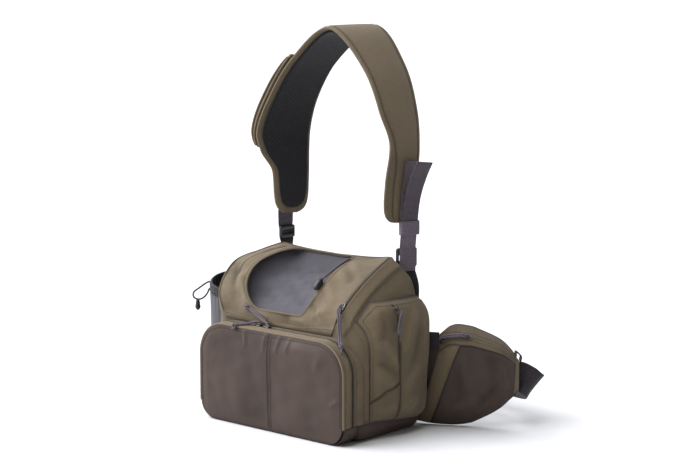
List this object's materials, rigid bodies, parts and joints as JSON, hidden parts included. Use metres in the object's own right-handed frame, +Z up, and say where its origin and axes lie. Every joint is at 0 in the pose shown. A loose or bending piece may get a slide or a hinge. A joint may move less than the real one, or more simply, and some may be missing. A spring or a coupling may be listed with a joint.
{
  "type": "hip pack",
  "caption": "Boxy zipped hip pack with a padded hip belt, a wide shoulder strap, a bottle sleeve, pockets on its front, side and belt, and an open trough in its lid.",
  "frame": {"origin": "centre of the main compartment's base, on the floor", "axes": "+X to the zipped side pocket, +Y towards the wearer, +Z up"},
  "size_m": [0.5104, 0.324, 0.5464],
  "materials": {
    "khaki_cloth": "matt woven cloth",
    "brown_coated_cloth": "coated cloth with a soft sheen",
    "gray_cloth": "smooth lining cloth",
    "webbing": "ribbed webbing",
    "black_cloth": "open mesh and black webbing",
    "black_plastic": "satin moulded plastic",
    "zip_tape": "coated zip tape",
    "slider_metal": "dark metal",
    "pull_cord": "braided cord",
    "elastic_cord": "braided elastic"
  },
  "bodies": {
    "root": {"main_shell": "khaki_cloth", "lid": "khaki_cloth", "front_pocket_welt": "khaki_cloth", "front_pocket_gusset": "khaki_cloth", "side_pocket_right": "khaki_cloth", "wing_band": "khaki_cloth", "wing_gusset": "khaki_cloth", "strap_pad": "khaki_cloth", "strap_panel": "khaki_cloth", "bottom_boot": "brown_coated_cloth", "front_pocket_boot": "brown_coated_cloth", "front_pocket_panel": "brown_coated_cloth", "wing_pad_right": "brown_coated_cloth", "wing_pad_left": "brown_coated_cloth", "wing_pocket_panel": "brown_coated_cloth", "top_recess": "gray_cloth", "left_sleeve": "gray_cloth", "sleeve_hem": "webbing", "belt_webbing_right": "webbing", "belt_webbing_left": "webbing", "wing_stay": "webbing", "wing_loop": "webbing", "strap_webbing_right": "webbing", "strap_tail_right": "webbing", "strap_webbing_left": "webbing", "strap_keeper": "webbing", "strap_mesh": "black_cloth", "strap_anchor_right": "black_cloth", "strap_anchor_left": "black_cloth", "belt_buckle": "black_plastic", "strap_lock_right": "black_plastic", "strap_hook_left": "black_plastic", "sleeve_toggle": "black_plastic", "recess_cord_lock": "black_plastic", "lid_zipper_left": "zip_tape", "lid_zipper_right": "zip_tape", "front_zipper": "zip_tape", "side_zipper": "zip_tape", "wing_zipper": "zip_tape", "slider_front_left": "slider_metal", "slider_front_right": "slider_metal", "slider_lid": "slider_metal", "slider_side": "slider_metal", "slider_wing": "slider_metal", "pull_front_left": "pull_cord", "pull_front_right": "pull_cord", "pull_lid": "pull_cord", "pull_side": "pull_cord", "pull_wing": "pull_cord", "sleeve_cord": "elastic_cord", "recess_cord": "elastic_cord"}
  },
  "joints": []
}
